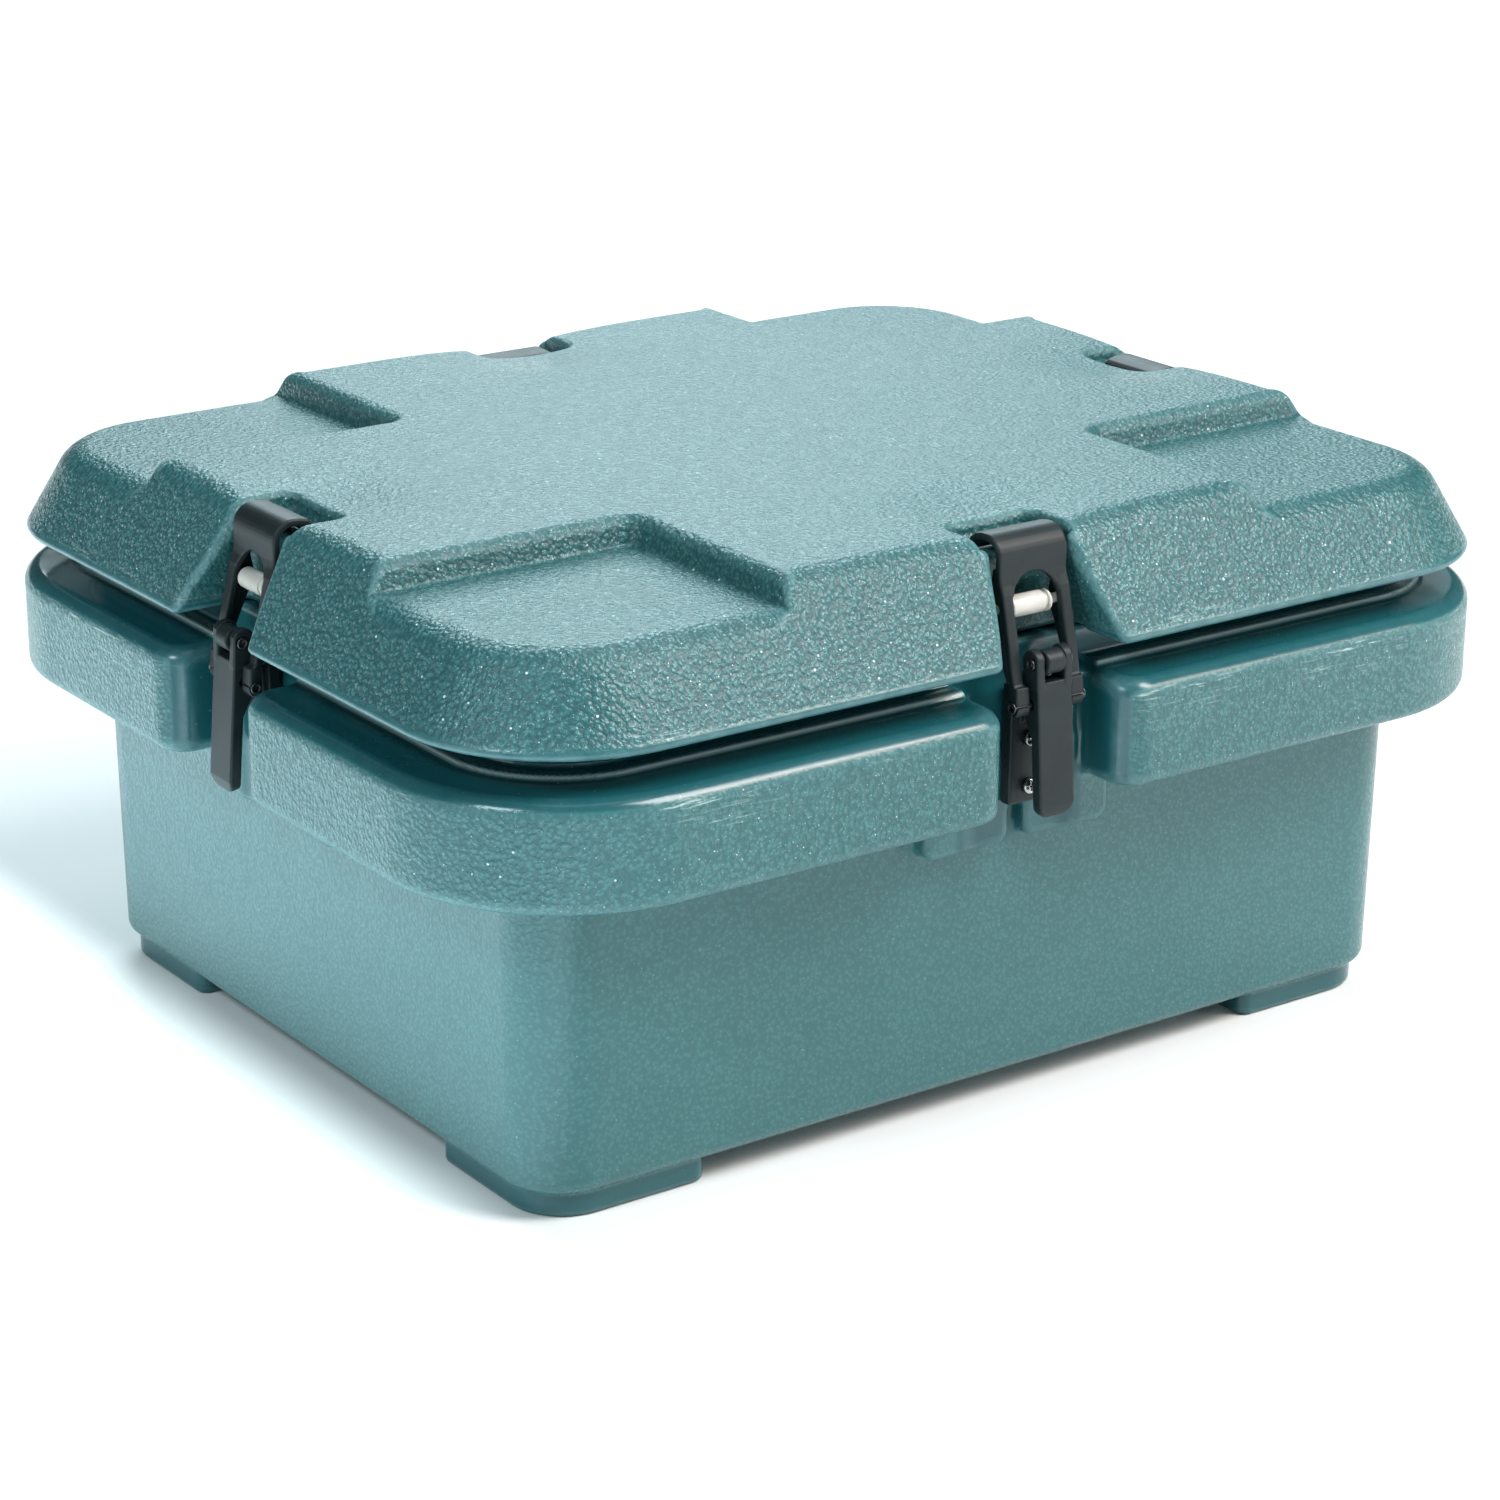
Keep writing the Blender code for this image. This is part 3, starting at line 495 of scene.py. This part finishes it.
# ---- materials ----------------------------------------------------------------------
class Tree:
    """Small helper to write node trees as text-like code."""

    def __init__(self, name):
        self.mat = bpy.data.materials.new(name)
        self.mat.use_nodes = True
        self.nt = self.mat.node_tree
        self.bsdf = self.nt.nodes["Principled BSDF"]
        self.coord = self.node("ShaderNodeTexCoord").outputs["Object"]

    def node(self, kind, **sets):
        n = self.nt.nodes.new(kind)
        for k, v in sets.items():
            setattr(n, k, v)
        return n

    def put(self, socket, value):
        if isinstance(value, bpy.types.NodeSocket):
            self.nt.links.new(value, socket)
        else:
            socket.default_value = value

    def math(self, op, a, b=0.0, c=None, clamp=False):
        n = self.node("ShaderNodeMath", operation=op, use_clamp=clamp)
        self.put(n.inputs[0], a)
        self.put(n.inputs[1], b)
        if c is not None:
            self.put(n.inputs[2], c)
        return n.outputs[0]

    def remap(self, v, a0, a1, b0=0.0, b1=1.0, smooth=False):
        n = self.node("ShaderNodeMapRange", clamp=True,
                      interpolation_type='SMOOTHSTEP' if smooth else 'LINEAR')
        for s, val in zip(n.inputs[:5], (v, a0, a1, b0, b1)):
            self.put(s, val)
        return n.outputs[0]

    def mix(self, fac, a, b):
        n = self.node("ShaderNodeMix", data_type='RGBA')
        self.put(n.inputs[0], fac)
        for s, v in ((n.inputs[6], a), (n.inputs[7], b)):
            self.put(s, v if isinstance(v, bpy.types.NodeSocket) else (*v, 1.0))
        return n.outputs[2]

    def noise(self, scale, detail=2.0, rough=0.5, vec=None, distort=0.0):
        n = self.node("ShaderNodeTexNoise")
        self.put(n.inputs["Vector"], vec or self.coord)
        n.inputs["Scale"].default_value = scale
        n.inputs["Detail"].default_value = detail
        n.inputs["Roughness"].default_value = rough
        n.inputs["Distortion"].default_value = distort
        return n.outputs["Fac"]

    def cells(self, scale, feature='F1', vec=None, smooth=0.5):
        n = self.node("ShaderNodeTexVoronoi", feature=feature)
        self.put(n.inputs["Vector"], vec or self.coord)
        n.inputs["Scale"].default_value = scale
        if feature == 'SMOOTH_F1':
            n.inputs["Smoothness"].default_value = smooth
        return n

    def stretch(self, sx, sy, sz):
        n = self.node("ShaderNodeMapping")
        self.put(n.inputs["Vector"], self.coord)
        n.inputs["Scale"].default_value = (sx, sy, sz)
        return n.outputs[0]

    def value(self, name):
        return self.node("ShaderNodeAttribute", attribute_name=name).outputs["Fac"]

    def bump(self, height, strength, distance, normal=None):
        n = self.node("ShaderNodeBump")
        self.put(n.inputs["Strength"], strength)
        n.inputs["Distance"].default_value = distance
        self.put(n.inputs["Height"], height)
        if normal is not None:
            self.put(n.inputs["Normal"], normal)
        return n.outputs[0]

    def set(self, name, value):
        s = self.bsdf.inputs[name]
        if not isinstance(value, bpy.types.NodeSocket) and s.type == 'RGBA':
            value = (*value, 1.0)
        self.put(s, value)


def teal_plastic():
    t = Tree("teal_polyethylene")
    grain, scuff, wall = t.value("grain"), t.value("scuff"), t.value("wall")
    edge, line = t.value("edge"), t.value("line")
    # Pebbled skin: rounded cells with finer crumbs between them.
    warp = t.node("ShaderNodeTexNoise")
    t.put(warp.inputs["Vector"], t.coord)
    warp.inputs["Scale"].default_value = 320.0
    add_v = t.node("ShaderNodeVectorMath", operation='MULTIPLY_ADD')
    t.put(add_v.inputs[0], warp.outputs["Color"])
    add_v.inputs[1].default_value = (0.0016, 0.0016, 0.0016)
    t.put(add_v.inputs[2], t.coord)
    pebble = t.cells(560.0, 'SMOOTH_F1', add_v.outputs[0], 0.35).outputs["Distance"]
    crumbs = t.noise(1250.0, 2.0, 0.55)
    height = t.math('MULTIPLY_ADD', crumbs, 0.6, t.math('MULTIPLY', pebble, -0.9))
    wave = t.noise(28.0, 2.0, 0.5)
    n0 = t.bump(wave, 0.05, 0.004)
    n1 = t.bump(height, t.math('MULTIPLY', grain, 0.46), 0.0012, n0)
    t.set("Normal", n1)
    # Uneven tone, and painted shade: darker where the grain value is low, as on the rim top under the lid's
    # overhang and on the feet.
    tone = t.noise(9.0, 3.0, 0.55)
    tone2 = t.noise(70.0, 3.0, 0.6)
    col = t.mix(t.remap(tone, 0.3, 0.7), (0.040, 0.152, 0.161), (0.049, 0.170, 0.178))
    col = t.mix(t.math('MULTIPLY', t.remap(tone2, 0.35, 0.75), 0.35), col, (0.031, 0.132, 0.142))
    # Painted shade: deep teal where the grain value is low.
    col = t.mix(t.remap(grain, 0.06, 0.34, 1.0, 0.0), col, (0.010, 0.088, 0.103))
    # Painted shade between the pebbles and painted highlights on their crests.
    low = t.math('MULTIPLY', t.remap(height, -0.02, -0.22, 0.0, 0.62), grain)
    crest_highlight = t.math('MULTIPLY', t.remap(height, 0.06, 0.24, 0.0, 0.42), grain)
    col = t.mix(low, col, (0.010, 0.062, 0.070))
    col = t.mix(crest_highlight, col, (0.150, 0.310, 0.318))
    # Pale specks of several sizes.
    for scale, size, few, much in ((330.0, 0.10, 0.84, 0.85), (620.0, 0.11, 0.76, 0.60), (980.0, 0.13, 0.68, 0.40)):
        v = t.cells(scale)
        sep = t.node("ShaderNodeSeparateColor")
        t.put(sep.inputs[0], v.outputs["Color"])
        lim = t.math('MULTIPLY_ADD', sep.outputs[1], size, 0.075)
        dot = t.remap(t.math('SUBTRACT', lim, v.outputs["Distance"]), 0.0, 0.03)
        dot = t.math('MULTIPLY', dot, t.math('GREATER_THAN', sep.outputs[0], few))
        dot = t.math('MULTIPLY', dot, t.remap(grain, 0.1, 0.9, 0.1 * much, much))
        col = t.mix(t.math('MULTIPLY', dot, t.remap(wall, 0.0, 1.0, 1.0, 0.4)), col, (0.80, 0.90, 0.90))
    # Edges lighter in colour, partly rubbed wear and partly painted edge highlights; chalky scuffs where the rim is
    # knocked.
    wear_and_highlight = t.math('MULTIPLY', t.math('MULTIPLY', edge, t.remap(wall, 0.0, 1.0, 1.0, 0.4)), t.remap(t.noise(130.0, 4.0, 0.65), 0.30, 0.70, 0.12, 0.45))
    col = t.mix(wear_and_highlight, col, (0.17, 0.34, 0.36))
    # Painted highlight: a pale line along the edge of the ledge on the rim top, under the lid.
    col = t.mix(t.math('MULTIPLY', line, 0.85), col, (0.62, 0.82, 0.84))
    streak = t.noise(60.0, 4.0, 0.7, t.stretch(1.0, 1.0, 16.0), 0.6)
    patch = t.noise(16.0, 2.0, 0.5)
    rub = t.math('MULTIPLY', t.remap(streak, 0.54, 0.66), t.remap(patch, 0.46, 0.58))
    rub = t.math('MULTIPLY', rub, scuff, clamp=True)
    col = t.mix(t.math('MULTIPLY', rub, 0.85), col, (0.62, 0.74, 0.73))
    t.set("Base Color", col)
    rough = t.math('MULTIPLY_ADD', grain, 0.04, 0.15)
    rough = t.math('MULTIPLY_ADD', edge, 0.16, t.math('MULTIPLY_ADD', scuff, 0.14, rough))
    rough = t.math('ADD', rough, t.math('MULTIPLY_ADD', tone2, 0.10, -0.05))
    rough = t.math('MULTIPLY_ADD', low, 0.25, rough)
    rough = t.math('MULTIPLY_ADD', rub, 0.25, rough, clamp=True)
    t.set("Roughness", rough)
    t.set("IOR", 1.5)
    return t.mat


def black_nylon():
    t = Tree("black_nylon")
    fine = t.noise(1400.0, 3.0, 0.6)
    tone = t.noise(90.0, 3.0, 0.6)
    col = t.mix(t.remap(tone, 0.3, 0.7), (0.009, 0.015, 0.017), (0.014, 0.022, 0.025))
    rubs = t.remap(t.noise(420.0, 3.0, 0.7, t.stretch(1.0, 1.0, 0.12)), 0.66, 0.80)
    col = t.mix(t.math('MULTIPLY', rubs, 0.25), col, (0.08, 0.08, 0.09))
    t.set("Base Color", col)
    t.set("Roughness", t.math('MULTIPLY_ADD', tone, 0.16, 0.34))
    t.set("Normal", t.bump(fine, 0.10, 0.0003))
    t.set("IOR", 1.36)
    return t.mat


def steel(name, tint, rough):
    t = Tree(name)
    lines = t.noise(900.0, 2.0, 0.5, t.stretch(0.08, 1.0, 1.0))
    stain = t.noise(260.0, 3.0, 0.6)
    t.set("Base Color", t.mix(t.remap(stain, 0.35, 0.75), tint, tuple(0.78 * c for c in tint)))
    t.set("Metallic", 1.0)
    t.set("Roughness", t.math('MULTIPLY_ADD', lines, 0.16, rough))
    t.set("Normal", t.bump(lines, 0.06, 0.0002))
    return t.mat


def white_nylon():
    t = Tree("white_nylon")
    tone = t.noise(140.0, 3.0, 0.6)
    t.set("Base Color", t.mix(t.remap(tone, 0.3, 0.75), (0.62, 0.60, 0.56), (0.52, 0.50, 0.45)))
    t.set("Roughness", t.math('MULTIPLY_ADD', tone, 0.15, 0.28))
    t.set("Normal", t.bump(t.noise(900.0, 2.0, 0.5), 0.05, 0.0003))
    t.set("Subsurface Weight", 0.15)
    t.set("Subsurface Radius", (0.002, 0.002, 0.0015))
    return t.mat


def rigid_foam():
    t = Tree("foam")
    cells = t.cells(700.0).outputs["Distance"]
    tone = t.noise(60.0, 3.0, 0.6)
    t.set("Base Color", t.mix(tone, (0.74, 0.63, 0.38), (0.62, 0.51, 0.28)))
    t.set("Roughness", t.math('MULTIPLY_ADD', tone, 0.1, 0.86))
    t.set("Normal", t.bump(cells, 0.5, 0.0006))
    return t.mat


TEAL, BLACK, WHITE, FOAM = teal_plastic(), black_nylon(), white_nylon(), rigid_foam()
PIN_STEEL = steel("pin_steel", (0.13, 0.13, 0.13), 0.26)
SCREW_STEEL = steel("screw_steel", (0.45, 0.45, 0.45), 0.14)


# ---- the object -----------------------------------------------------------------------
add("tub", solid("tub", tub, tub_x, tub_y, tub_z, True, 1.5, tub_values), TEAL,
    "base", [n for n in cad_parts
             if n in ("base_shell", "base_liner") or n.endswith(("_rim", "_foot"))])
add("lid_cover", solid("lid_cover", lid, lid_x, lid_y, lid_z, True, 1.5, lid_values), TEAL,
    "lid", "lid_shell")


def span(lo, hi, step):
    return stops((lo, hi, step))


def plug_values(p, nrm):
    none = np.zeros(len(p))
    return {"grain": none + 0.25, "scuff": none, "wall": none, "edge": none, "line": none}


for name, z0, z1, body in (("base_fill_plug", 9.8, 13.9, "base"), ("lid_fill_plug", 175.8, 179.9, "lid")):
    g = span(-12.4, 12.4, 0.4)
    add(name.replace("fill_plug", "port_plug"),
        solid(name, plug_field(z0, z1), g, g, span(z0 - 0.8, z1 + 0.8, 0.3), False, 0.4, plug_values),
        TEAL, body, name)
for name in ("base_foam_core", "lid_foam_core"):
    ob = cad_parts[name]
    ob.data.materials.clear()
    ob.data.materials.append(FOAM)

LATCH = {
    "latch_bracket": (solid("bracket", bracket, span(-12.0, 12.0, 0.5), span(-192.0, -170.3, 0.4),
                            span(119.8, 182.4, 0.5), reach=0.5), BLACK, "base", "black_nylon"),
    "latch_lever": (solid("lever", lever, span(-9.0, 9.0, 0.4), span(-194.4, -180.0, 0.36),
                          span(118.8, 182.8, 0.45), reach=0.5), BLACK, "lever", "black_nylon"),
    "hook_rod": (solid("rod", rod, span(-15.2, 15.2, 0.35), span(-178.8, -169.2, 0.3),
                       span(189.8, 199.4, 0.3), reach=0.4), WHITE, "hook", "white_nylon"),
    "lever_pin": (solid("lever_pin", pin_field(*PIV, 8.9), span(-9.6, 9.6, 0.2), span(-189.6, -183.2, 0.2),
                        span(173.4, 179.8, 0.2), reach=0.3), PIN_STEEL, "base", "pin_steel"),
    "hook_pin": (solid("hook_pin", pin_field(*HK, 16.1), span(-16.8, 16.8, 0.2), span(-188.7, -182.3, 0.2),
                       span(158.5, 164.9, 0.2), reach=0.3), PIN_STEEL, "lever", "pin_steel"),
}
for tag, z0 in (("lower", 127.5), ("upper", 145.5)):
    LATCH["screw_" + tag] = (
        solid("screw_" + tag, screw_field(z0), span(-4.4, 4.4, 0.16), span(-180.2, -166.0, 0.2),
              span(z0 - 4.4, z0 + 4.4, 0.16), reach=0.25), SCREW_STEEL, "base", "screw_steel")

for side, turn, extra in SIDES:
    place = (Matrix.Rotation(math.radians(turn), 4, 'Z')
             @ Matrix.Translation((0.0, -extra * MM, 0.0)))
    LATCH["latch_hook"] = (
        solid(side + "_hook", lambda x, y, z: hook(x, y, z, HOOK_TOP[side]), span(-16.2, 16.2, 0.45),
              span(-190.2, -155.8, 0.42), span(157.0, 221.4, 0.45), reach=0.5),
        BLACK, "hook", "black_nylon")
    for key, (me, mat, body, slot) in LATCH.items():
        owner = "base" if body == "base" else side + "_" + body
        add(side + "_" + key + "_piece", me, mat, owner, side + "_" + key, place)

# ---- studio -----------------------------------------------------------------------------
def floor_material():
    """Pale studio floor, lit from below at the left and far away from the object."""
    t = Tree("pale_floor")
    tone = t.noise(1.4, 3.0, 0.5)
    t.set("Base Color", t.mix(tone, (0.88, 0.88, 0.88), (0.91, 0.91, 0.91)))
    t.set("Roughness", t.math('MULTIPLY_ADD', tone, 0.1, 0.6))
    sep = t.node("ShaderNodeSeparateXYZ")
    t.put(sep.inputs[0], t.coord)
    x = sep.outputs[0]
    left = t.math('MULTIPLY', t.remap(x, -0.19, -0.25, smooth=True), t.remap(x, -0.62, -0.46, smooth=True))
    away = t.node("ShaderNodeVectorMath", operation='LENGTH')
    t.put(away.inputs[0], t.coord)
    far = t.remap(away.outputs["Value"], 0.8, 2.4, smooth=True)
    glow = 0.02
    for mask, much in ((left, 1.5), (far, 1.0)):
        glow = t.math('MULTIPLY_ADD', mask, much, glow)
    t.set("Emission Color", t.mix(left, (1.0, 1.0, 1.0), (0.72, 1.0, 1.07)))
    t.set("Emission Strength", glow)
    return t.mat


fl = bpy.data.meshes.new("floor")
fl.from_pydata([(-30, -30, 0), (30, -30, 0), (30, 30, 0), (-30, 30, 0)], [], [(0, 1, 2, 3)])
fl.materials.append(floor_material())
floor = bpy.data.objects.new("floor", fl)
bpy.context.scene.collection.objects.link(floor)

world = bpy.data.worlds.new("studio")
bpy.context.scene.world = world
world.use_nodes = True
bg = world.node_tree.nodes["Background"]
bg.inputs[0].default_value = (0.90, 0.98, 1.0, 1.0)
bg.inputs[1].default_value = 0.07

COOL, PLAIN, WARM = (0.80, 1.0, 1.06), (1.0, 1.0, 1.0), (1.14, 1.0, 0.90)


def panel(name, turn, rise, size, watts, tint, wide=None):
    """Soft panel 2.2 m away, seen from the object at a turn from the front and a rise."""
    li = bpy.data.lights.new(name, 'AREA')
    li.shape, li.size, li.size_y = 'RECTANGLE', wide or size, size
    li.energy, li.color = watts, tint
    ob = bpy.data.objects.new(name, li)
    bpy.context.scene.collection.objects.link(ob)
    a, e = math.radians(turn), math.radians(rise)
    way = Vector((math.sin(a) * math.cos(e), -math.cos(a) * math.cos(e), math.sin(e)))
    ob.location = Vector((0.0, 0.0, 0.12)) + 2.2 * way
    ob.rotation_euler = (-way).to_track_quat('-Z', 'Y').to_euler()
    ob.visible_camera = False
    return ob


panel("upper_front_right", 33, 52, 0.9, 40.0, PLAIN)
panel("key_front_right", 40, 34, 0.7, 14.0, WARM)
panel("low_front_right", 48, 8, 0.9, 7.0, PLAIN)
panel("back_right", 150, 36, 1.3, 26.5, COOL)
panel("back_right_low", 142, 14, 1.3, 3.2, COOL)
panel("upper_right", 108, 60, 1.3, 3.0, PLAIN)
panel("overhead", 0, 88, 1.3, 6.0, COOL)
panel("left_low", 268, 12, 1.0, 5.0, PLAIN)
panel("front_left", 287, 40, 0.4, 16.0, COOL, 0.6)

yaw, pitch, roll = math.radians(35.006), math.radians(19.453), math.radians(0.085)
look = Vector((math.sin(yaw) * math.cos(pitch), math.cos(yaw) * math.cos(pitch), -math.sin(pitch)))
right = Vector((math.cos(yaw), -math.sin(yaw), 0.0))
up = right.cross(look)
cam = bpy.data.cameras.new("camera")
cam.lens, cam.sensor_width = 94.58, 36.0
cam.shift_x, cam.shift_y = 0.0212, 0.0004
eye = bpy.data.objects.new("camera", cam)
bpy.context.scene.collection.objects.link(eye)
eye.matrix_world = (Matrix.Translation((-0.8459, -1.1923, 0.6055))
                    @ Matrix((right, up, -look)).transposed().to_4x4() @ Matrix.Rotation(roll, 4, 'Z'))
bpy.context.scene.camera = eye
bpy.context.scene.view_settings.view_transform = 'Standard'
